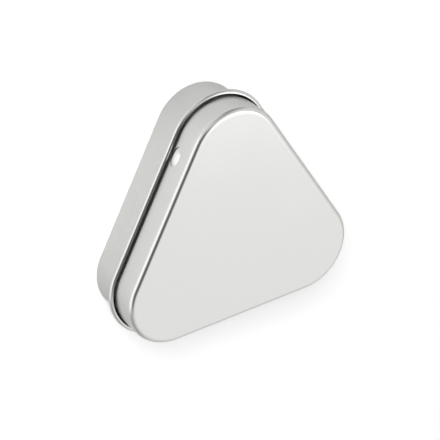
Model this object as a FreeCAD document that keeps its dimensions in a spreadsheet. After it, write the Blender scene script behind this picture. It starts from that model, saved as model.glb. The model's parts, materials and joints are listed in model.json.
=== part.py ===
"""Triangular mint tin: a tinplate lid hinged on a tinplate base by a wire pin.

The tin lies closed on its base. Z is up, the hinge runs along X at the back (+Y) and the corner that opens
points to the front (-Y). The origin is the middle of the triangle, on the surface that the tin rests on.
"""
import FreeCAD, Part
import os
from math import radians
import Sketcher

doc = FreeCAD.newDocument("MintTin")

# Driving dimensions, in millimetres and degrees.
SIZES = {
    "lid_width": 65.0,        # across the lid's walls, along the hinge side
    "corner_radius": 12.9,    # lid wall, outside
    "total_height": 20.0,     # closed
    "lid_depth": 9.3,         # top panel to the lowest point of the curl
    "sheet": 0.25,            # tinplate
    "lid_shoulder": 1.4,      # outside radius between panel and skirt
    "base_edge": 1.8,         # outside radius between bottom and wall
    "curl_radius": 0.8,       # the lid's rim, rolled outwards
    "curl_turn": 276.0,       # how far round it is rolled
    "fit_gap": 0.3,           # lid wall to base wall, all round
    "overlap": 2.2,           # how far the base goes up into the lid
    "rim_radius": 0.6,        # the base's rim, rolled inwards
    "rim_turn": 280.0,
    "knuckle_width": 6.5,
    "knuckle_offset": 10.0,   # middle of a knuckle from the middle of the hinge
    "knuckle_gap": 0.25,      # beside a knuckle, on each side
    "knuckle_turn": 270.0,
    "bend_radius": 0.2,       # inside of the bend from the base wall to the tongue
    "notch_room": 0.4,        # above the tongue, in the lid's skirt
    "pin_gap": 0.05,          # pin to knuckle, radial
    "pin_inset": 2.0,         # each end of the pin from the end of the hinge side's straight stretch
    "pin_chamfer": 0.15,
    "pip_length": 4.8,        # pips pressed outwards in the skirt, along the side
    "pip_width": 3.0,         # upwards
    "pip_height": 0.7,        # outwards
    "pip_offset": 14.5,       # from the middle of the side towards the front corner
    "pip_lift": 0.6,          # lower edge of a pip above the curl
}

sheet = doc.addObject("Spreadsheet::Sheet", "Sizes")
for row, (alias, value) in enumerate(SIZES.items(), start=1):
    sheet.set(f"A{row}", alias)
    sheet.set(f"B{row}", str(value))
    sheet.setAlias(f"B{row}", alias)
doc.recompute()

# Places worked out from the sheet. The three corners' centres are shared by every outline of the tin.
CORNER_X = "(Sizes.lid_width / 2 - Sizes.corner_radius)"
CORNER_Y = f"({CORNER_X} / sqrt(3))"
LID_OUTSIDE = f"({CORNER_Y} + Sizes.corner_radius)"
LID_INSIDE = f"({LID_OUTSIDE} - Sizes.sheet)"
BASE_RADIUS = "(Sizes.corner_radius - Sizes.sheet - Sizes.fit_gap)"
BASE_OUTSIDE = f"({CORNER_Y} + {BASE_RADIUS})"
BASE_INSIDE = f"({BASE_OUTSIDE} - Sizes.sheet)"
LID_MOUTH = "(Sizes.total_height - Sizes.lid_depth)"
BASE_TOP = f"({LID_MOUTH} + Sizes.overlap)"
AXIS_Y = f"({LID_INSIDE} + Sizes.curl_radius)"
AXIS_Z = f"({LID_MOUTH} + Sizes.curl_radius)"
CURL_BORE = "(Sizes.curl_radius - Sizes.sheet)"
TONGUE_TOP = f"({AXIS_Z} + Sizes.curl_radius)"
PIN_LENGTH = f"(2 * ({CORNER_X} - Sizes.pin_inset))"
KNUCKLE_SLOT = "(Sizes.knuckle_width + 2 * Sizes.knuckle_gap)"
PIP_LEVEL = f"({AXIS_Z} + Sizes.curl_radius + Sizes.pip_lift + Sizes.pip_width / 2)"

START, END, CENTRE = range(1, 4)
HORIZONTAL_AXIS, VERTICAL_AXIS = range(-1, -3, -1)
ORIGIN_POINT = (HORIZONTAL_AXIS, START)
UP = FreeCAD.Vector(0, 0, 1)


def origin_feature(body, role):
    return next(item for item in body.Origin.OriginFeatures if item.Role == role)


def new_sketch(body, name, plane, offset):
    """An empty sketch on one of the body's origin planes, moved along the plane's normal."""
    sketch = body.newObject("Sketcher::SketchObject", name)
    sketch.AttachmentSupport = (origin_feature(body, plane), [""])
    sketch.MapMode = "FlatFace"
    sketch.setExpression("AttachmentOffset.Base.z", offset)
    return sketch


def new_feature(body, kind, name, **settings):
    """A PartDesign feature. Text settings that name the sheet are bound to it."""
    feature = body.newObject("PartDesign::" + kind, name)
    for key, value in settings.items():
        if isinstance(value, str) and "Sizes." in value:
            feature.setExpression(key, value)
        else:
            setattr(feature, key, value)
    body.Tip = feature
    doc.recompute()
    return feature


def line(start, end):
    return Part.LineSegment(FreeCAD.Vector(*start, 0), FreeCAD.Vector(*end, 0))


def arc(centre, radius, first, last):
    circle = Part.Circle(FreeCAD.Vector(*centre, 0), UP, radius)
    return Part.ArcOfCircle(circle, radians(first), radians(last))


def join(sketch, *ends, tangent=False):
    """Close the given pairs of ends: (geometry, end, geometry, end)."""
    for pair in ends:
        sketch.addConstraint(Sketcher.Constraint("Tangent" if tangent else "Coincident", *pair))


def dimension(sketch, name, kind, where, expression):
    """A named dimension that starts at the drawn size and is bound to the sheet."""
    if kind == "Radius":
        drawn = sketch.Geometry[where[0]].Radius
    else:
        span = sketch.getPoint(*where[2:]) - sketch.getPoint(*where[:2])
        drawn = span.x if kind == "DistanceX" else span.y
    index = sketch.addConstraint(Sketcher.Constraint(kind, *where, drawn))
    sketch.renameConstraint(index, name)
    sketch.setExpression("Constraints." + name, expression)


def place_point(sketch, name, point, across=None, up=None):
    """Dimension a point from the sketch's origin."""
    if across:
        dimension(sketch, name + "_across", "DistanceX", (*ORIGIN_POINT, *point), across)
    if up:
        dimension(sketch, name + "_up", "DistanceY", (*ORIGIN_POINT, *point), up)


def triangle_sketch(body, name, level, radius):
    """The rounded triangle: three corner arcs about the shared centres, joined by tangent sides."""
    sketch = new_sketch(body, name, "XY_Plane", level)
    right, left, front = (20, 11.5), (-20, 11.5), (0, -23)
    drawn_radius = 12
    sketch.addGeometry([
        arc(right, drawn_radius, -30, 90),
        line((20, 23.5), (-20, 23.5)),
        arc(left, drawn_radius, 90, 210),
        line((-30.4, 5.5), (-10.4, -29)),
        arc(front, drawn_radius, 210, 330),
        line((10.4, -29), (30.4, 5.5)),
    ])
    sides = 6
    join(sketch, *[(item, END, (item + 1) % sides, START) for item in range(sides)], tangent=True)
    for corner in (2, 4):
        sketch.addConstraint(Sketcher.Constraint("Equal", 0, corner))
    sketch.addConstraint(Sketcher.Constraint("Symmetric", 0, CENTRE, 2, CENTRE, VERTICAL_AXIS))
    sketch.addConstraint(Sketcher.Constraint("PointOnObject", 4, CENTRE, VERTICAL_AXIS))
    dimension(sketch, "corner", "Radius", (0,), radius)
    place_point(sketch, "right", (0, CENTRE), CORNER_X, CORNER_Y)
    dimension(sketch, "front", "DistanceY", (4, CENTRE, *ORIGIN_POINT), f"2 * {CORNER_Y}")
    return sketch


def roll_sketch(body, name, across, centre, outer, start, turn):
    """The section of a rolled edge: a band of sheet bent about a centre, open where the roll ends.

    It lies square to the hinge, and its construction line is the upright axis of the corner beside it.
    """
    sketch = new_sketch(body, name, "YZ_Plane", across)
    drawn_centre, drawn_outer, drawn_inner = (24, 12), 0.9, 0.6
    last = start + 290
    sketch.addGeometry([arc(drawn_centre, radius, start, last) for radius in (drawn_outer, drawn_inner)])
    outer_arc, inner_arc = sketch.Geometry
    sketch.addGeometry([
        Part.LineSegment(outer_arc.StartPoint, inner_arc.StartPoint),
        Part.LineSegment(outer_arc.EndPoint, inner_arc.EndPoint),
    ])
    join(sketch, (0, START, 2, START), (1, START, 2, END), (0, END, 3, START), (1, END, 3, END))
    join(sketch, (0, CENTRE, 1, CENTRE))
    sketch.addConstraint(Sketcher.Constraint("Horizontal", 2))
    for edge in (2, 3):
        sketch.addConstraint(Sketcher.Constraint("PointOnObject", 0, CENTRE, edge))
    dimension(sketch, "outer", "Radius", (0,), outer)
    dimension(sketch, "inner", "Radius", (1,), f"{outer} - Sizes.sheet")
    place_point(sketch, "centre", (0, CENTRE), *centre)
    index = sketch.addConstraint(Sketcher.Constraint("Angle", 2, START, 3, START, radians(last - start)))
    sketch.renameConstraint(index, "turn")
    sketch.setExpression("Constraints.turn", f"{turn} * 1 deg")
    sketch.addGeometry(line((11.5, 0), (11.5, 20)), True)
    sketch.addConstraint(Sketcher.Constraint("Vertical", 4))
    sketch.addConstraint(Sketcher.Constraint("PointOnObject", 4, START, HORIZONTAL_AXIS))
    place_point(sketch, "corner", (4, START), across=CORNER_Y)
    dimension(sketch, "corner_height", "DistanceY", (4, START, 4, END), "Sizes.total_height")
    return sketch


def roll_all_round(body, name, sketch):
    """Run a rolled edge along one side and round one corner, then repeat both for the three sides."""
    side = new_feature(body, "Pad", name + "_side", Profile=sketch, Length=f"2 * {CORNER_X}", Reversed=True)
    corner = new_feature(
        body, "Revolution", name + "_corner", Profile=sketch, ReferenceAxis=(sketch, ["Axis0"]),
        Angle=120, Reversed=True)
    return new_feature(
        body, "PolarPattern", name + "_round", Originals=[side, corner],
        Axis=(origin_feature(body, "Z_Axis"), [""]), Angle=360, Occurrences=3)


def hinge_slot(body, name, bottom, top):
    """Cut the back wall open where a knuckle stands."""
    sketch = new_sketch(body, name + "_outline", "XZ_Plane", "0")
    corners = [(7, 10), (13, 10), (13, 14), (7, 14)]
    sketch.addGeometry([line(corners[item], corners[(item + 1) % 4]) for item in range(4)])
    join(sketch, *[(item, END, (item + 1) % 4, START) for item in range(4)])
    for flat, upright in ((0, 1), (2, 3)):
        sketch.addConstraint(Sketcher.Constraint("Horizontal", flat))
        sketch.addConstraint(Sketcher.Constraint("Vertical", upright))
    place_point(sketch, "near", (0, START), f"Sizes.knuckle_offset - {KNUCKLE_SLOT} / 2", bottom)
    place_point(sketch, "far", (2, START), f"Sizes.knuckle_offset + {KNUCKLE_SLOT} / 2", top)
    return new_feature(body, "Pocket", name, Profile=sketch, Type="ThroughAll")


def both_sides(body, name, features):
    """Repeat features on the other half of the tin."""
    return new_feature(
        body, "Mirrored", name, Originals=features, MirrorPlane=(origin_feature(body, "YZ_Plane"), [""]))


def level_face(feature, top):
    """The name of the feature's highest or lowest level face."""
    heights = [face.CenterOfMass.z for face in feature.Shape.Faces]
    wanted = max(heights) if top else min(heights)
    return f"Face{heights.index(wanted) + 1}"


def shell(body, name, outline, height, edge_radius, open_top):
    """A drawn shell of sheet: a block rounded at its closed end and hollowed from its open end."""
    block = new_feature(body, "Pad", name + "_block", Profile=outline, Length=height)
    closed_end = (block, [level_face(block, not open_top)])
    rounded = new_feature(body, "Fillet", name + "_rounding", Base=closed_end, Radius=edge_radius)
    open_end = (rounded, [level_face(rounded, open_top)])
    return new_feature(body, "Thickness", name + "_shell", Base=open_end, Value="Sizes.sheet", Reversed=True)


def pip_ellipsoid(body, kind, name, side, inwards):
    """The ellipsoid of a pip on the right (1) or left (-1) side, its pole pointing out of the skirt.

    Its middle lies one pip's height inside the skirt, so that half of its pole stands proud.
    """
    feature = body.newObject("PartDesign::" + kind, name)
    outwards = -90 + side * 60
    feature.Placement = FreeCAD.Placement(FreeCAD.Vector(), FreeCAD.Rotation(outwards, 90, 0))
    reach = f"({LID_OUTSIDE} - Sizes.pip_height - {inwards})"
    feature.setExpression("Radius1", "2 * Sizes.pip_height")
    feature.setExpression("Radius2", "Sizes.pip_width / sqrt(3)")
    feature.setExpression("Radius3", "Sizes.pip_length / sqrt(3)")
    across = f"{reach} * cos(30 deg) - Sizes.pip_offset * sin(30 deg)"
    feature.setExpression("Placement.Base.x", f"{side} * ({across})")
    feature.setExpression("Placement.Base.y", f"-{reach} * sin(30 deg) - Sizes.pip_offset * cos(30 deg)")
    feature.setExpression("Placement.Base.z", PIP_LEVEL)
    body.Tip = feature
    doc.recompute()
    return feature


def grip_pips(body):
    """Two pips pressed out of the skirt beside the corner that opens, one sheet thick."""
    for name, side in (("right", 1), ("left", -1)):
        bump = pip_ellipsoid(body, "AdditiveEllipsoid", name + "_pip_bump", side, "0")
        # Only the cap from the skirt's inner face outwards is added.
        bump.setExpression("Angle1", "asin((Sizes.pip_height - Sizes.sheet) / (2 * Sizes.pip_height))")
        doc.recompute()
        pip_ellipsoid(body, "SubtractiveEllipsoid", name + "_pip_hollow", side, "Sizes.sheet")


def make_lid():
    body = doc.addObject("PartDesign::Body", "lid")
    outline = triangle_sketch(body, "lid_outline", AXIS_Z, "Sizes.corner_radius")
    shell(body, "lid", outline, f"Sizes.total_height - {AXIS_Z}", "Sizes.lid_shoulder", open_top=False)
    section = roll_sketch(
        body, "curl_section", CORNER_X, (AXIS_Y, AXIS_Z), "Sizes.curl_radius", 180, "Sizes.curl_turn")
    roll_all_round(body, "curl", section)
    slot = hinge_slot(
        body, "knuckle_slot", f"{LID_MOUTH} - Sizes.curl_radius", f"{TONGUE_TOP} + Sizes.notch_room")
    both_sides(body, "knuckle_slots", [slot])
    grip_pips(body)
    return body


def tongue_sketch(body, across):
    """The strip of base wall that bends outwards over the knuckle."""
    sketch = new_sketch(body, "tongue_section", "YZ_Plane", across)
    bend = (23.7, 12.2)
    sketch.addGeometry([
        line((23.2, 11.7), (23.2, 12.2)),
        arc(bend, 0.5, 90, 180),
        line((23.7, 12.7), (24.7, 12.7)),
        line((24.7, 12.7), (24.7, 12.4)),
        line((24.7, 12.4), (23.7, 12.4)),
        arc(bend, 0.2, 90, 180),
        line((23.5, 12.2), (23.5, 11.7)),
        line((23.5, 11.7), (23.2, 11.7)),
    ])
    join(sketch, (0, END, 1, END), (1, START, 2, START), (4, END, 5, START), (5, END, 6, START), tangent=True)
    join(sketch, (2, END, 3, START), (3, END, 4, START), (6, END, 7, START), (7, END, 0, START))
    join(sketch, (1, CENTRE, 5, CENTRE))
    for upright in (0, 3, 6):
        sketch.addConstraint(Sketcher.Constraint("Vertical", upright))
    for flat in (2, 4, 7):
        sketch.addConstraint(Sketcher.Constraint("Horizontal", flat))
    dimension(sketch, "bend", "Radius", (5,), "Sizes.bend_radius")
    place_point(sketch, "root", (0, START), BASE_INSIDE, AXIS_Z)
    place_point(sketch, "wall", (7, START), across=BASE_OUTSIDE)
    place_point(sketch, "crown", (2, END), AXIS_Y, TONGUE_TOP)
    return sketch


def make_base():
    body = doc.addObject("PartDesign::Body", "base")
    outline = triangle_sketch(body, "base_outline", "0", BASE_RADIUS)
    shell(body, "base", outline, f"{BASE_TOP} - Sizes.rim_radius", "Sizes.base_edge", open_top=True)
    rim_centre = (f"{BASE_OUTSIDE} - Sizes.rim_radius", f"{BASE_TOP} - Sizes.rim_radius")
    section = roll_sketch(body, "rim_section", CORNER_X, rim_centre, "Sizes.rim_radius", 0, "Sizes.rim_turn")
    roll_all_round(body, "rim", section)
    slot = hinge_slot(body, "tongue_slot", AXIS_Z, f"{BASE_TOP} + Sizes.rim_radius")
    near_end = "Sizes.knuckle_offset - Sizes.knuckle_width / 2"
    tongue = new_feature(
        body, "Pad", "tongue", Profile=tongue_sketch(body, near_end), Length="Sizes.knuckle_width")
    roll = roll_sketch(
        body, "knuckle_section", near_end, (AXIS_Y, AXIS_Z), "Sizes.curl_radius", 180, "Sizes.knuckle_turn")
    knuckle = new_feature(body, "Pad", "knuckle", Profile=roll, Length="Sizes.knuckle_width")
    both_sides(body, "knuckles", [slot, tongue, knuckle])
    return body


def make_hinge_pin():
    body = doc.addObject("PartDesign::Body", "hinge_pin")
    sketch = new_sketch(body, "wire_section", "YZ_Plane", f"-{PIN_LENGTH} / 2")
    sketch.addGeometry(Part.Circle(FreeCAD.Vector(24.7, 11.7, 0), UP, 0.6))
    dimension(sketch, "wire", "Radius", (0,), f"{CURL_BORE} - Sizes.pin_gap")
    place_point(sketch, "axis", (0, CENTRE), AXIS_Y, AXIS_Z)
    wire = new_feature(body, "Pad", "wire", Profile=sketch, Length=PIN_LENGTH)
    ends = [f"Face{index}" for index, face in enumerate(wire.Shape.Faces, start=1)
            if face.Surface.TypeId == "Part::GeomPlane"]
    new_feature(body, "Chamfer", "wire_ends", Base=(wire, ends), Size="Sizes.pin_chamfer")
    return body


nodes = [make_lid(), make_base(), make_hinge_pin()]
doc.recompute()

for item in doc.Objects:
    if "Invalid" in item.State or "Error" in item.State:
        raise RuntimeError(f"{item.Label} failed: {item.State}")
for node in nodes:
    if node.Shape.isNull() or not node.Shape.isValid() or len(node.Shape.Solids) != 1:
        raise RuntimeError(f"{node.Label} is not one valid solid")

os.makedirs("parts", exist_ok=True)
for node in nodes:
    node.Shape.exportStep(f"parts/{node.Label}.step")
    box = node.Shape.BoundBox
    print(f"{node.Label}: {box.XLength:.2f} x {box.YLength:.2f} x {box.ZLength:.2f} mm, "
          f"{node.Shape.Volume:.1f} mm3")
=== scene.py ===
"""Models the looks of a three-sided mint tin: two shells of satin tinplate, hinged on a wire pin.

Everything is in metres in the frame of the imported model: the tin lies closed on its base, Z is up,
the hinge runs along X at the back (+Y) and the corner that opens points to the front (-Y).
"""

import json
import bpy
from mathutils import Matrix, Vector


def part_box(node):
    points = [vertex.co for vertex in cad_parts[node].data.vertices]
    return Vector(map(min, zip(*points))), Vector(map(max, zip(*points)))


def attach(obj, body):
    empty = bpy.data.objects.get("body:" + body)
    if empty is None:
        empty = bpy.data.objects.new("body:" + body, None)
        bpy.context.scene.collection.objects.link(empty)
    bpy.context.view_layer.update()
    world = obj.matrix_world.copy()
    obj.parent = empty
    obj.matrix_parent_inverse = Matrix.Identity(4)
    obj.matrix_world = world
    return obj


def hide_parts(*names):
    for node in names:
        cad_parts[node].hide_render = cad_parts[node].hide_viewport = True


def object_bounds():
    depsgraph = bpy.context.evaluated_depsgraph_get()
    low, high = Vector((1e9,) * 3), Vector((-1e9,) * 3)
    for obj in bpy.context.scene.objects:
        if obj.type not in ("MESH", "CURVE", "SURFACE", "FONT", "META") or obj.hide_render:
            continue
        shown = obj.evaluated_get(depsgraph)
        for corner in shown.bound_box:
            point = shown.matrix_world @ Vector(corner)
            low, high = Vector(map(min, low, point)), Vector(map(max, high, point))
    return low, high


bl_info = {
    "name": "Three-Sided Mint Tin",
    "version": (1, 0, 0),
    "blender": (4, 5, 0),
    "location": "3D View > Sidebar > Mint Tin",
    "description": "Models a hinged mint tin in satin tinplate and sets up its studio",
    "category": "Add Mesh",
}

from math import cos, hypot, radians, sin, sqrt

import bmesh
import bpy
from bpy.props import FloatProperty, FloatVectorProperty, PointerProperty
from mathutils import Matrix, Quaternion, Vector
from mathutils.geometry import intersect_point_line

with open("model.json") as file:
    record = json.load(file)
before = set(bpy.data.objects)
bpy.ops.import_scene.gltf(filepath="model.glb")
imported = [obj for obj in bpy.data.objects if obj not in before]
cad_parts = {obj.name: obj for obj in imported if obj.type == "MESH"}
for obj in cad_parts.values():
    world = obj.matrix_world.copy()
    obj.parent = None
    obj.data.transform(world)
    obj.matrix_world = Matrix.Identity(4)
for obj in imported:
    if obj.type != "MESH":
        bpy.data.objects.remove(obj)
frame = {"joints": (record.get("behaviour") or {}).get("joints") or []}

MM = 0.001
CAD_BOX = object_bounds()
LID_BOX, BASE_BOX, PIN_BOX = (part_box(node) for node in ("lid", "base", "hinge_pin"))
HINGE = Vector(frame["joints"][0]["pos_m"])
ALONG_HINGE = (1, 0, 0)
UPRIGHT = (0, 0, 1)
QUARTER = radians(90)
# The turn from one side of the triangle to the next.
NEXT_SIDE = radians(120)
# How far the two front sides lean from straight ahead.
FRONT_LEAN = radians(30)

# How finely round stretches are divided.
CORNER_STEPS = 36
ROLL_STEPS = 28
EDGE_STEPS = 12
BEND_STEPS = 6
WIRE_STEPS = 32
WIRE_END_STEPS = 3
PIP_STEPS = 40
# How round the ridge along a pip is, from sharp at 0, and how blunt the pip's ends are.
PIP_ROUND = 0.28
PIP_BLUNTNESS = 3
# Edges that turn by more than this stay crisp.
CRISP_ANGLE = radians(35)
# A narrow row of faces beside each bend keeps the flats truly flat.
MARGIN = 0.6 * MM
# Points this near a place count as being there.
NEAR = 0.01 * MM
# Points this near each other become one.
SAME_POINT = 0.001 * MM
# How much of the sheet, counted from the outside of the lid's roll, keeps the satin finish. The
# rest, deep in the roll, is painted dark grey as shade.
SATIN_SHARE = 0.6

# How bright the studio is to the surfaces that it lights. Where it is seen, it is white.
AMBIENT = 0.28
# Metres from the tin's middle to each softbox, and from the floor's middle to its edges.
LAMP_DISTANCE = 0.6
FLOOR_REACH = 3
# Azimuths below run from the front towards the right. They and elevations are in degrees.
# Softboxes: name, azimuth, elevation, width and height in metres, watts, whether the metal mirrors
# them.
SOFTBOXES = (
    ("softbox_right", 86, 16, 1.2, 0.6, 2.1, False),
    ("softbox_left", 257, 61, 0.28, 0.28, 0.45, True),
    ("softbox_back", 219, 46, 0.5, 0.5, 0.14, True),
    ("softbox_front", 30, 40, 0.25, 0.25, 2.0, False),
)
# Cards that only the metal mirrors: azimuth, elevation, half-width and softness of the edge in
# degrees, and how far they darken the white studio. Below 0 they brighten it.
CARDS = (
    (87, 13, 35, 8, -0.68),
    (146, 12, 26, 10, 0.5),
    (96, 65, 27, 8, 0.85),
    (334, 6, 22, 8, 0.6),
    (350, 42, 16, 8, 0.5),
)
# Glow of the floor where it is seen, near the tin and far away, and the distances in metres between
# which it rises.
GLOW = 0.36, 0.75
GLOW_RISE = 0.12, 0.6
# How much of that glow the metal loses towards one azimuth and away from it, and the angles from
# that azimuth between which the loss grows.
GLOW_LOST = 0.08, 0.58
GLOW_AZIMUTH = 65
GLOW_SPREAD = 10, 60


def hex_colour(code):
    """An sRGB hex value as linear red, green and blue."""
    channels = [int(code[place:place + 2], 16) / 255 for place in (1, 3, 5)]
    return [c / 12.92 if c <= 0.04045 else ((c + 0.055) / 1.055) ** 2.4 for c in channels]


def length(name, description, size_mm):
    return FloatProperty(
        name=name, description=description, default=size_mm * MM, unit="LENGTH", precision=5)


def angle(name, description, degrees):
    return FloatProperty(
        name=name, description=description, default=radians(degrees), unit="ROTATION")


def colour(name, description, code):
    return FloatVectorProperty(
        name=name, description=description, default=hex_colour(code), subtype="COLOR", size=3,
        min=0, max=1)


class TinSizes(bpy.types.PropertyGroup):
    """The tin's sizes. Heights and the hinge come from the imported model."""

    lid_width: length("Lid width", "Across the lid's skirt along the hinge side", 65)
    corner_radius: length("Corner radius", "Outside of the lid's skirt", 12.9)
    sheet: length("Sheet", "Thickness of the tinplate", 0.25)
    lid_shoulder: length("Lid shoulder", "Outside radius between panel and skirt", 1.4)
    base_edge: length("Base edge", "Outside radius between bottom and wall", 1.8)
    curl_radius: length("Curl radius", "The lid's rim, rolled outwards", 0.8)
    curl_turn: angle("Curl turn", "How far round the lid's rim is rolled", 276)
    fit_gap: length("Fit gap", "Lid skirt to base wall, all round", 0.3)
    rim_radius: length("Rim radius", "The base's rim, rolled inwards", 0.6)
    rim_turn: angle("Rim turn", "How far round the base's rim is rolled", 280)
    knuckle_width: length("Knuckle width", "Each strip of base wall rolled round the pin", 6.5)
    knuckle_offset: length("Knuckle offset", "Middle of a knuckle from the hinge's middle", 10)
    knuckle_gap: length("Knuckle gap", "Beside a knuckle, on each side", 0.25)
    knuckle_turn: angle("Knuckle turn", "How far a knuckle is rolled round the pin", 270)
    bend_radius: length("Bend radius", "Inside of the bend from base wall to knuckle", 0.2)
    notch_room: length("Notch room", "Above the knuckle in the lid's skirt", 0.4)
    pin_round: length("Pin rounding", "At the ends of the hinge pin", 0.15)
    pip_length: length("Pip length", "Pips pressed outwards in the skirt, along the side", 5.6)
    pip_width: length("Pip width", "Pips in the skirt, upwards", 3)
    pip_height: length("Pip height", "How far a pip stands out", 0.7)
    pip_offset: length("Pip offset", "From the middle of a side towards the front corner", 14.5)
    pip_lift: length("Pip lift", "Lower edge of a pip above the curl", 0.6)

    @property
    def half_side(self):
        """Half of the straight stretch between two corners."""
        return self.lid_width / 2 - self.corner_radius

    @property
    def corner_line(self):
        """From the tin's middle to the line through two corners' centres."""
        return self.half_side / sqrt(3)

    @property
    def lid_inside(self):
        """From the tin's middle to the inner face of the lid's skirt."""
        return self.corner_line + self.corner_radius - self.sheet

    @property
    def base_outside(self):
        """From the tin's middle to the outer face of the base's wall."""
        return self.lid_inside - self.fit_gap

    @property
    def curl_top(self):
        return HINGE.z + self.curl_radius

    @property
    def notch_top(self):
        return self.curl_top + self.notch_room

    @property
    def pip_level(self):
        return self.curl_top + self.pip_lift + self.pip_width / 2

    def knuckle_spans(self, spare):
        """Where each knuckle, with room beside it, begins and ends across the hinge."""
        half = self.knuckle_width / 2 + spare
        middles = self.knuckle_offset, -self.knuckle_offset
        return [(middle - half, middle + half) for middle in middles]


class TinColours(bpy.types.PropertyGroup):
    """Colours of the metal and the studio."""

    tinplate: colour("Tinplate", "Pale silver of uncoated tin", "#CDCDCB")
    grazing: colour("Grazing tint", "What tinplate keeps of its shine at a grazing angle", "#DEDEDC")
    # Painted shade: near-black grey put on the inside of the lid's roll, standing in for the shade
    # in the seam.
    painted_seam_shade: colour("Dull tinplate", "Tinplate inside the rolled rim", "#1E1E1D")
    wire: colour("Wire", "Drawn steel wire of the hinge pin", "#C4C3C0")
    floor: colour("Floor", "Plain pale studio floor", "#F2F2F2")


class StudioSizes(bpy.types.PropertyGroup):
    """Where the camera stands."""

    target: FloatVectorProperty(
        name="Target", description="Point that the camera looks at", subtype="XYZ", unit="LENGTH",
        size=3, default=(5.764 * MM, -6.809 * MM, 20.2 * MM))
    distance: length("Distance", "From the camera to its target", 373.67)
    azimuth: angle("Azimuth", "Of the camera, from the front towards the right", 38.95)
    elevation: angle("Elevation", "Of the camera above the floor", 47.25)
    roll: angle("Roll", "Of the camera about its line of sight", 129.15)
    lens: FloatProperty(name="Lens", description="Focal length", default=124.23, unit="CAMERA")


def add_node(tree, kind, inputs, **settings):
    """Add a shader node with its settings. An input is a value or the output that feeds it."""
    node = tree.nodes.new(kind)
    for name, value in settings.items():
        setattr(node, name, value)
    for socket, value in inputs.items():
        if isinstance(value, bpy.types.NodeSocket):
            tree.links.new(value, node.inputs[socket])
        else:
            node.inputs[socket].default_value = value
    return node


def new_material(name):
    material = bpy.data.materials.new(name)
    material.use_nodes = True
    material.node_tree.nodes.clear()
    return material, material.node_tree


# Steel strip, cold rolled and plated with tin: a pale satin silver whose fine rolling grain softens
# reflections. The real grain is too fine for the render, so it is drawn coarser.
def satin_tinplate(name, colours):
    material, tree = new_material(name)
    grain_width = 0.12 * MM
    grain_length = 3 * MM
    grain_depth = 0.002 * MM
    cloud_width = 18 * MM
    smooth, rough = 0.22, 0.27
    grain_adds = 0.02
    place = add_node(tree, "ShaderNodeTexCoord", {})
    stretched = add_node(tree, "ShaderNodeMapping", {
        "Vector": place.outputs["Object"],
        "Scale": (1 / grain_length, 1 / grain_width, 1 / grain_width)})
    grain = add_node(tree, "ShaderNodeTexNoise", {
        "Vector": stretched.outputs["Vector"], "Scale": 1, "Detail": 3})
    clouds = add_node(tree, "ShaderNodeTexNoise", {
        "Vector": place.outputs["Object"], "Scale": 1 / cloud_width, "Detail": 2})
    polish = add_node(tree, "ShaderNodeMapRange", {
        "Value": clouds.outputs["Fac"], "From Min": 0.3, "From Max": 0.7,
        "To Min": smooth, "To Max": rough})
    roughness = add_node(tree, "ShaderNodeMath", {
        0: grain.outputs["Fac"], 1: grain_adds, 2: polish.outputs["Result"]},
        operation="MULTIPLY_ADD")
    relief = add_node(tree, "ShaderNodeBump", {
        "Height": grain.outputs["Fac"], "Distance": grain_depth, "Strength": 0.03})
    metal = add_node(tree, "ShaderNodeBsdfPrincipled", {
        "Base Color": (*colours.tinplate, 1), "Specular Tint": (*colours.grazing, 1), "Metallic": 1,
        "Roughness": roughness.outputs["Value"], "Normal": relief.outputs["Normal"]})
    add_node(tree, "ShaderNodeOutputMaterial", {"Surface": metal.outputs["BSDF"]})
    return material


# Painted shade: the tinplate deep in the roll gets a dark, rough grey that stands in for the shade
# which leaves a black line between rim and skirt.
def painted_shade_tinplate(name, colours):
    material, tree = new_material(name)
    metal = add_node(tree, "ShaderNodeBsdfPrincipled", {
        "Base Color": (*colours.painted_seam_shade, 1), "Metallic": 1, "Roughness": 0.6})
    add_node(tree, "ShaderNodeOutputMaterial", {"Surface": metal.outputs["BSDF"]})
    return material


# Hard steel wire pulled through a die: a little darker than the sheet, with faint lines along its
# length. The real lines are too fine for the render, so they are drawn coarser.
def drawn_wire(name, colours):
    material, tree = new_material(name)
    line_width = 0.08 * MM
    line_length = 8 * MM
    line_depth = 0.005 * MM
    smooth, rough = 0.15, 0.35
    place = add_node(tree, "ShaderNodeTexCoord", {})
    stretched = add_node(tree, "ShaderNodeMapping", {
        "Vector": place.outputs["Object"],
        "Scale": (1 / line_length, 1 / line_width, 1 / line_width)})
    lines = add_node(tree, "ShaderNodeTexNoise", {
        "Vector": stretched.outputs["Vector"], "Scale": 1, "Detail": 2})
    roughness = add_node(tree, "ShaderNodeMapRange", {
        "Value": lines.outputs["Fac"], "To Min": smooth, "To Max": rough})
    relief = add_node(tree, "ShaderNodeBump", {
        "Height": lines.outputs["Fac"], "Distance": line_depth, "Strength": 0.4})
    metal = add_node(tree, "ShaderNodeBsdfPrincipled", {
        "Base Color": (*colours.wire, 1), "Metallic": 1, "Roughness": roughness.outputs["Result"],
        "Normal": relief.outputs["Normal"]})
    add_node(tree, "ShaderNodeOutputMaterial", {"Surface": metal.outputs["BSDF"]})
    return material


FINISHES = {
    "rolled_tinplate_satin": satin_tinplate,
    # The second finish is painted shade for the seam in the lid's roll.
    "rolled_tinplate_painted_shade": painted_shade_tinplate,
    "drawn_steel_wire": drawn_wire,
}


def metal_finish(name, colours):
    """A finish is made once and shared by the pieces that have it."""
    return bpy.data.materials.get(name) or FINISHES[name](name, colours)


def edges_and_points(geometry):
    """Sort the edges and the points out of what an operator gives back."""
    edges = [item for item in geometry if isinstance(item, bmesh.types.BMEdge)]
    points = [item for item in geometry if isinstance(item, bmesh.types.BMVert)]
    return edges, points


def pull(bm, edges, offset):
    """Pull new sheet straight out of a row of edges, and give the new row's edges and points."""
    edges, points = edges_and_points(bmesh.ops.extrude_edge_only(bm, edges=edges)["geom"])
    bmesh.ops.translate(bm, verts=points, vec=offset)
    return edges, points


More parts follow.
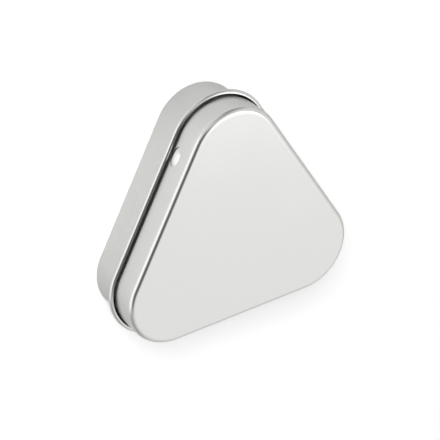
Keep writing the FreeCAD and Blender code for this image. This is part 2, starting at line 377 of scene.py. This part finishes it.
def swing(bm, edges, points, centre, axis, turn, steps):
    """Carry a row of edges and points round an axis, and give the last row's edges and points."""
    swung = bmesh.ops.spin(
        bm, geom=points + edges, cent=centre, axis=axis, angle=turn, steps=steps)
    return edges_and_points(swung["geom_last"])


def draw_on(bm, point, offset):
    """Carry the section's line straight on from its last point."""
    end = bmesh.ops.extrude_vert_indiv(bm, verts=[point])["verts"][0]
    bmesh.ops.translate(bm, verts=[end], vec=offset)
    return end


def bend_on(bm, point, centre, turn, steps):
    """Carry the section's line round a centre, in the plane square to the hinge."""
    ends = swing(bm, [], [point], centre, ALONG_HINGE, turn, steps)[1]
    return ends[0]


def sweep_round(bm, sizes, stations):
    """Run the drawn section along the three sides and round the three corners, and close the ring.

    The section stands at the right end of the hinge side. Stations are the places along each side,
    from the end that the section reaches first, where the sheet gets a row of edges.
    """
    edges = bm.edges[:]
    for side, places in enumerate(stations):
        turned = Matrix.Rotation(NEXT_SIDE * side, 3, "Z")
        reached = 0
        for place in (*places, 2 * sizes.half_side):
            edges, points = pull(bm, edges, turned @ Vector((reached - place, 0, 0)))
            reached = place
        corner = turned @ Vector((-sizes.half_side, sizes.corner_line, 0))
        edges, points = swing(bm, edges, points, corner, UPRIGHT, NEXT_SIDE, CORNER_STEPS)
    bmesh.ops.remove_doubles(bm, verts=bm.verts, dist=SAME_POINT)


def hinge_stations(sizes, spans):
    """Places along the hinge side, from its right end, where spans across it begin and end."""
    return sorted(sizes.half_side - x for span in spans for x in span)


def pip_stations(sizes):
    """Places along a side, from its back end, that divide the pip finely."""
    middle = sizes.half_side + sizes.pip_offset
    step = sizes.pip_length / PIP_STEPS
    return [middle + step * (count - PIP_STEPS / 2) for count in range(PIP_STEPS + 1)]


def close_end(bm, level):
    """Fill the flat end of a drawn shell, with a margin inside its edge."""
    rim = [
        edge for edge in bm.edges if edge.is_boundary
        and all(abs(vert.co.z - level) < NEAR for vert in edge.verts)]
    flat = bmesh.ops.edgeloop_fill(bm, edges=rim)["faces"]
    bmesh.ops.inset_region(bm, faces=flat, thickness=MARGIN, use_even_offset=True)
    return flat[0]


def cut_away(bm, spans, lowest, highest):
    """Cut the hinge side's sheet away within spans across it and between two heights."""
    gone = []
    for face in bm.faces:
        middle = face.calc_center_median()
        inside = any(first < middle.x < last for first, last in spans)
        if inside and middle.y > 0 and lowest < middle.z < highest:
            gone.append(face)
    bmesh.ops.delete(bm, geom=gone, context="FACES")


def press_pips(bm, sizes):
    """Press the two pips out of the skirt: a lens with a soft ridge along its middle."""
    for sign in (1, -1):
        outwards = Vector((sign * cos(FRONT_LEAN), -sin(FRONT_LEAN), 0))
        forwards = Vector((-sign * sin(FRONT_LEAN), -cos(FRONT_LEAN), 0))
        for vert in bm.verts:
            along = (vert.co.dot(forwards) - sizes.pip_offset) / (sizes.pip_length / 2)
            upwards = (vert.co.z - sizes.pip_level) / (sizes.pip_width / 2)
            depth = 1 - abs(along) ** PIP_BLUNTNESS - hypot(upwards, PIP_ROUND)
            rise = depth / (1 - PIP_ROUND)
            if rise > 0 and vert.co.dot(outwards) > sizes.corner_line:
                vert.co += outwards * sizes.pip_height * rise


def roll_knuckles(bm, sizes):
    """Carry the base's wall between its slots up, bend it outwards and roll it round the pin."""
    bend_level = sizes.curl_top - sizes.sheet - sizes.bend_radius
    bend = Vector((0, sizes.base_outside + sizes.bend_radius, bend_level))
    for first, last in sizes.knuckle_spans(0):
        root = [
            edge for edge in bm.edges if edge.is_boundary
            and all(abs(vert.co.z - HINGE.z) < NEAR and vert.co.y > 0 for vert in edge.verts)
            and all(first - NEAR < vert.co.x < last + NEAR for vert in edge.verts)]
        edges, points = pull(bm, root, (0, 0, bend_level - HINGE.z))
        edges, points = swing(bm, edges, points, bend, ALONG_HINGE, -QUARTER, BEND_STEPS)
        edges, points = pull(bm, edges, (0, HINGE.y - bend.y, 0))
        swing(bm, edges, points, HINGE, ALONG_HINGE, -sizes.knuckle_turn, ROLL_STEPS)


def thicken(bm, flat, sheet):
    """Give the drawn surface its sheet. The flat face looks down, and the new side is above it."""
    bmesh.ops.recalc_face_normals(bm, faces=bm.faces)
    flat.normal_update()
    if flat.normal.z > 0:
        bmesh.ops.reverse_faces(bm, faces=bm.faces)
    bmesh.ops.solidify(bm, geom=bm.faces[:], thickness=sheet)


def beyond_corners(place, sizes):
    """How far a place lies outside the triangle through the three corners' centres."""
    flat = Vector((place.x, place.y, 0))
    front = Vector((0, -2 * sizes.corner_line, 0))
    corners = [Matrix.Rotation(NEXT_SIDE * count, 3, "Z") @ front for count in range(3)]
    gaps = []
    for start, end in zip(corners, corners[1:] + corners[:1]):
        share = min(max(intersect_point_line(flat, start, end)[1], 0), 1)
        gaps.append((flat - start.lerp(end, share)).length)
    return min(gaps)


def paint_shade_in_roll(bm, sizes):
    """Give the depth of the lid's rolled rim, where it meets the skirt, the painted shade material:
    a dark grey that stands in for the shade in the seam.
    """
    axis = HINGE.y - sizes.corner_line
    reach = sizes.curl_radius - SATIN_SHARE * sizes.sheet
    for face in bm.faces:
        middle = face.calc_center_median()
        across = beyond_corners(middle, sizes) - axis
        up = middle.z - HINGE.z
        if hypot(across, up) < reach and across < -reach / 2:
            face.material_index = 1


def finish_piece(bm, name, finishes, node, body):
    """Turn the modelled mesh into a piece that stands for its CAD node and moves with its body."""
    mesh = bpy.data.meshes.new(name)
    bm.to_mesh(mesh)
    bm.free()
    mesh.polygons.foreach_set("use_smooth", [True] * len(mesh.polygons))
    mesh.set_sharp_from_angle(angle=CRISP_ANGLE)
    for finish in finishes:
        mesh.materials.append(metal_finish(finish, bpy.context.scene.mint_tin_colours))
    piece = bpy.data.objects.new(name, mesh)
    bpy.context.scene.collection.objects.link(piece)
    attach(piece, body)
    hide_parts(node)


class MINTTIN_OT_lid(bpy.types.Operator):
    """Draw the lid from one blank: panel, skirt, grip pips and the rim rolled outwards"""

    bl_idname = "mint_tin.lid"
    bl_label = "Lid"

    def execute(self, context):
        sizes = context.scene.mint_tin_sizes
        bm = bmesh.new()
        inner_shoulder = sizes.lid_shoulder - sizes.sheet
        underside = LID_BOX[1].z - sizes.sheet
        # The line follows the inner side of the sheet, from the panel down to the end of the curl.
        point = bm.verts.new((sizes.half_side, sizes.lid_inside - inner_shoulder, underside))
        shoulder = point.co - Vector((0, 0, inner_shoulder))
        point = bend_on(bm, point, shoulder, -QUARTER, EDGE_STEPS)
        rows = [underside - inner_shoulder - sizes.sheet]
        rows += [
            sizes.pip_level + sizes.pip_width * (count / PIP_STEPS - 0.5)
            for count in range(PIP_STEPS + 1)]
        rows += [sizes.notch_top, HINGE.z + sizes.curl_radius / 2, HINGE.z]
        for row in sorted(rows, reverse=True):
            point = draw_on(bm, point, (0, 0, row - point.co.z))
        bend_on(bm, point, HINGE, sizes.curl_turn, ROLL_STEPS)

        notches = sizes.knuckle_spans(sizes.knuckle_gap)
        side = 2 * sizes.half_side
        pips = pip_stations(sizes)
        sweep_round(bm, sizes, [
            [MARGIN, *hinge_stations(sizes, notches), side - MARGIN],
            [MARGIN, *pips, side - MARGIN],
            [MARGIN, *[side - place for place in reversed(pips)], side - MARGIN],
        ])
        panel = close_end(bm, underside)
        cut_away(bm, notches, 0, sizes.notch_top)
        press_pips(bm, sizes)
        thicken(bm, panel, sizes.sheet)
        # Paint shade into the roll's depth, so the seam between rim and skirt reads black.
        paint_shade_in_roll(bm, sizes)
        finish_piece(
            bm, "tin_lid", ["rolled_tinplate_satin", "rolled_tinplate_painted_shade"],
            node="lid", body="lid")
        return {"FINISHED"}


class MINTTIN_OT_base(bpy.types.Operator):
    """Draw the base from one blank: bottom, wall, rim rolled inwards and the two knuckles"""

    bl_idname = "mint_tin.base"
    bl_label = "Base"

    def execute(self, context):
        sizes = context.scene.mint_tin_sizes
        bm = bmesh.new()
        # The line follows the outer side of the sheet, from the bottom up to the end of the rim.
        point = bm.verts.new((sizes.half_side, sizes.base_outside - sizes.base_edge, 0))
        edge = point.co + Vector((0, 0, sizes.base_edge))
        point = bend_on(bm, point, edge, QUARTER, EDGE_STEPS)
        rim_level = BASE_BOX[1].z - sizes.rim_radius
        for row in (sizes.base_edge + sizes.sheet, HINGE.z - sizes.sheet, HINGE.z, rim_level):
            point = draw_on(bm, point, (0, 0, row - point.co.z))
        rim = point.co - Vector((0, sizes.rim_radius, 0))
        bend_on(bm, point, rim, sizes.rim_turn, ROLL_STEPS)

        slots = sizes.knuckle_spans(sizes.knuckle_gap)
        side = 2 * sizes.half_side
        sweep_round(bm, sizes, [
            [MARGIN, *hinge_stations(sizes, slots + sizes.knuckle_spans(0)), side - MARGIN],
            [MARGIN, side - MARGIN],
            [MARGIN, side - MARGIN],
        ])
        bottom = close_end(bm, 0)
        cut_away(bm, slots, HINGE.z, BASE_BOX[1].z)
        roll_knuckles(bm, sizes)
        thicken(bm, bottom, sizes.sheet)
        finish_piece(
            bm, "tin_base", ["rolled_tinplate_satin"], node="base", body="base")
        return {"FINISHED"}


class MINTTIN_OT_hinge_pin(bpy.types.Operator):
    """Cut the wire pin that the lid's curl and the base's knuckles turn on"""

    bl_idname = "mint_tin.hinge_pin"
    bl_label = "Hinge Pin"

    def execute(self, context):
        sizes = context.scene.mint_tin_sizes
        radius = (PIN_BOX[1].z - PIN_BOX[0].z) / 2
        bm = bmesh.new()
        wire = bmesh.ops.create_cone(
            bm, cap_ends=True, segments=WIRE_STEPS, radius1=radius, radius2=radius,
            depth=PIN_BOX[1].x - PIN_BOX[0].x, matrix=Matrix.Rotation(QUARTER, 4, "Y"))["verts"]
        bmesh.ops.translate(bm, verts=wire, vec=HINGE)
        ends = [e for e in bm.edges if abs(e.verts[0].co.x - e.verts[1].co.x) < NEAR]
        bmesh.ops.bevel(
            bm, geom=ends, offset=sizes.pin_round, offset_type="OFFSET", affect="EDGES",
            segments=WIRE_END_STEPS, profile=0.5, material=-1)
        finish_piece(
            bm, "wire_pin", ["drawn_steel_wire"], node="hinge_pin", body="base")
        return {"FINISHED"}


def direction(azimuth, elevation):
    """The way to a place round the tin, from its azimuth and elevation in radians."""
    flat = cos(elevation)
    return Vector((sin(azimuth) * flat, -cos(azimuth) * flat, sin(elevation)))


def seen(tree):
    """1 where the camera sees a surface, straight or in a mirror or glass."""
    path = add_node(tree, "ShaderNodeLightPath", {})
    camera_or_gloss = add_node(tree, "ShaderNodeMath", {
        0: path.outputs["Is Camera Ray"], 1: path.outputs["Is Glossy Ray"]}, operation="MAXIMUM")
    any_of_them = add_node(tree, "ShaderNodeMath", {
        0: camera_or_gloss.outputs["Value"], 1: path.outputs["Is Transmission Ray"]},
        operation="MAXIMUM")
    return any_of_them.outputs["Value"]


def less_in_mirrors(tree, level, share):
    """A level of light that loses a share of itself where the metal mirrors it."""
    path = add_node(tree, "ShaderNodeLightPath", {})
    lost = add_node(tree, "ShaderNodeMath", {
        0: share, 1: path.outputs["Is Glossy Ray"]}, operation="MULTIPLY")
    kept = add_node(tree, "ShaderNodeMath", {0: 1, 1: lost.outputs["Value"]}, operation="SUBTRACT")
    left = add_node(tree, "ShaderNodeMath", {
        0: level, 1: kept.outputs["Value"]}, operation="MULTIPLY")
    return left.outputs["Value"]


class MINTTIN_OT_stage(bpy.types.Operator):
    """Set up the pale floor, the soft studio light and the camera"""

    bl_idname = "mint_tin.stage"
    bl_label = "Stage"

    def execute(self, context):
        scene = context.scene
        scene.view_settings.view_transform = "Standard"
        self.make_floor(scene)
        self.make_world(scene)
        self.make_lamps(scene)
        self.make_camera(scene)
        return {"FINISHED"}

    def make_floor(self, scene):
        """Matt paper that keeps the tin's shadow and glows where it is seen."""
        bm = bmesh.new()
        bmesh.ops.create_grid(bm, x_segments=1, y_segments=1, size=FLOOR_REACH)
        mesh = bpy.data.meshes.new("studio_floor")
        bm.to_mesh(mesh)
        bm.free()
        floor = bpy.data.objects.new("studio_floor", mesh)
        scene.collection.objects.link(floor)
        material, tree = new_material("matt_paper_floor")
        paper = add_node(tree, "ShaderNodeBsdfDiffuse", {
            "Color": (*scene.mint_tin_colours.floor, 1)})
        place = add_node(tree, "ShaderNodeTexCoord", {}).outputs["Object"]
        towards = add_node(tree, "ShaderNodeVectorMath", {0: place}, operation="NORMALIZE")
        facing = add_node(tree, "ShaderNodeVectorMath", {
            0: towards.outputs["Vector"], 1: direction(radians(GLOW_AZIMUTH), 0)},
            operation="DOT_PRODUCT")
        narrow, wide = (cos(radians(spread)) for spread in GLOW_SPREAD)
        lost = add_node(tree, "ShaderNodeMapRange", {
            "Value": facing.outputs["Value"], "From Min": narrow, "From Max": wide,
            "To Min": GLOW_LOST[0], "To Max": GLOW_LOST[1]}, interpolation_type="SMOOTHSTEP")
        shown = less_in_mirrors(tree, seen(tree), lost.outputs["Result"])
        distance = add_node(tree, "ShaderNodeVectorMath", {0: place}, operation="LENGTH")
        rising = add_node(tree, "ShaderNodeMapRange", {
            "Value": distance.outputs["Value"], "From Min": GLOW_RISE[0], "From Max": GLOW_RISE[1],
            "To Min": GLOW[0], "To Max": GLOW[1]}, interpolation_type="SMOOTHSTEP")
        level = add_node(tree, "ShaderNodeMath", {
            0: shown, 1: rising.outputs["Result"]}, operation="MULTIPLY")
        glow = add_node(tree, "ShaderNodeEmission", {
            "Color": (1, 1, 1, 1), "Strength": level.outputs["Value"]})
        both = add_node(tree, "ShaderNodeAddShader", {
            0: paper.outputs["BSDF"], 1: glow.outputs["Emission"]})
        add_node(tree, "ShaderNodeOutputMaterial", {"Surface": both.outputs["Shader"]})
        mesh.materials.append(material)

    def make_world(self, scene):
        """White all round where it is seen, with dark and bright cards that only metal mirrors."""
        world = bpy.data.worlds.new("white_studio")
        scene.world = world
        world.use_nodes = True
        tree = world.node_tree
        tree.nodes.clear()
        place = add_node(tree, "ShaderNodeTexCoord", {}).outputs["Generated"]
        level = add_node(tree, "ShaderNodeMapRange", {
            "Value": seen(tree), "To Min": AMBIENT, "To Max": 1}).outputs["Result"]
        for azimuth, elevation, spread, edge, depth in CARDS:
            facing = add_node(tree, "ShaderNodeVectorMath", {
                0: place, 1: direction(radians(azimuth), radians(elevation))},
                operation="DOT_PRODUCT")
            shade = add_node(tree, "ShaderNodeMapRange", {
                "Value": facing.outputs["Value"], "From Min": cos(radians(spread + edge)),
                "From Max": cos(radians(spread - edge)), "To Min": 0, "To Max": depth},
                interpolation_type="SMOOTHSTEP")
            level = less_in_mirrors(tree, level, shade.outputs["Result"])
        light = add_node(tree, "ShaderNodeBackground", {"Color": (1, 1, 1, 1), "Strength": level})
        add_node(tree, "ShaderNodeOutputWorld", {"Surface": light.outputs["Background"]})

    def make_lamps(self, scene):
        """Softboxes round the tin, each turned towards its middle."""
        middle = (CAD_BOX[0] + CAD_BOX[1]) / 2
        for name, azimuth, elevation, width, height, watts, mirrored in SOFTBOXES:
            lamp = bpy.data.lights.new(name, "AREA")
            lamp.shape = "ELLIPSE"
            lamp.size, lamp.size_y = width, height
            lamp.energy = watts
            softbox = bpy.data.objects.new(name, lamp)
            softbox.visible_glossy = mirrored
            towards = direction(radians(azimuth), radians(elevation))
            softbox.location = middle + towards * LAMP_DISTANCE
            softbox.rotation_euler = (-towards).to_track_quat("-Z", "Y").to_euler()
            scene.collection.objects.link(softbox)

    def make_camera(self, scene):
        """A long lens from above the front right, rolled about its line of sight."""
        studio = scene.mint_tin_studio
        data = bpy.data.cameras.new("camera")
        data.sensor_width = 36
        data.lens = studio.lens
        data.clip_start, data.clip_end = 0.01, 20
        camera = bpy.data.objects.new("camera", data)
        back = direction(studio.azimuth, studio.elevation)
        camera.location = Vector(studio.target) + back * studio.distance
        camera.rotation_mode = "QUATERNION"
        level_view = (-back).to_track_quat("-Z", "Y")
        camera.rotation_quaternion = level_view @ Quaternion(UPRIGHT, studio.roll)
        scene.collection.objects.link(camera)
        scene.camera = camera


class MINTTIN_PT_panel(bpy.types.Panel):
    """Lists the tin's pieces, sizes and colours"""

    bl_idname = "MINTTIN_PT_panel"
    bl_label = "Mint Tin"
    bl_space_type = "VIEW_3D"
    bl_region_type = "UI"
    bl_category = "Mint Tin"

    def draw(self, context):
        scene = context.scene
        for step in STEPS:
            self.layout.operator(step.bl_idname)
        for group in (scene.mint_tin_sizes, scene.mint_tin_colours, scene.mint_tin_studio):
            box = self.layout.box()
            for name in group.__annotations__:
                box.prop(group, name)


STEPS = (MINTTIN_OT_lid, MINTTIN_OT_base, MINTTIN_OT_hinge_pin, MINTTIN_OT_stage)
CLASSES = (TinSizes, TinColours, StudioSizes, *STEPS, MINTTIN_PT_panel)


def register():
    for item in CLASSES:
        bpy.utils.register_class(item)
    bpy.types.Scene.mint_tin_sizes = PointerProperty(type=TinSizes)
    bpy.types.Scene.mint_tin_colours = PointerProperty(type=TinColours)
    bpy.types.Scene.mint_tin_studio = PointerProperty(type=StudioSizes)


def unregister():
    del bpy.types.Scene.mint_tin_studio
    del bpy.types.Scene.mint_tin_colours
    del bpy.types.Scene.mint_tin_sizes
    for item in reversed(CLASSES):
        bpy.utils.unregister_class(item)


def main():
    register()
    bpy.ops.mint_tin.lid()
    bpy.ops.mint_tin.base()
    bpy.ops.mint_tin.hinge_pin()
    bpy.ops.mint_tin.stage()
    bpy.context.view_layer.update()


if __name__ == "__main__":
    main()
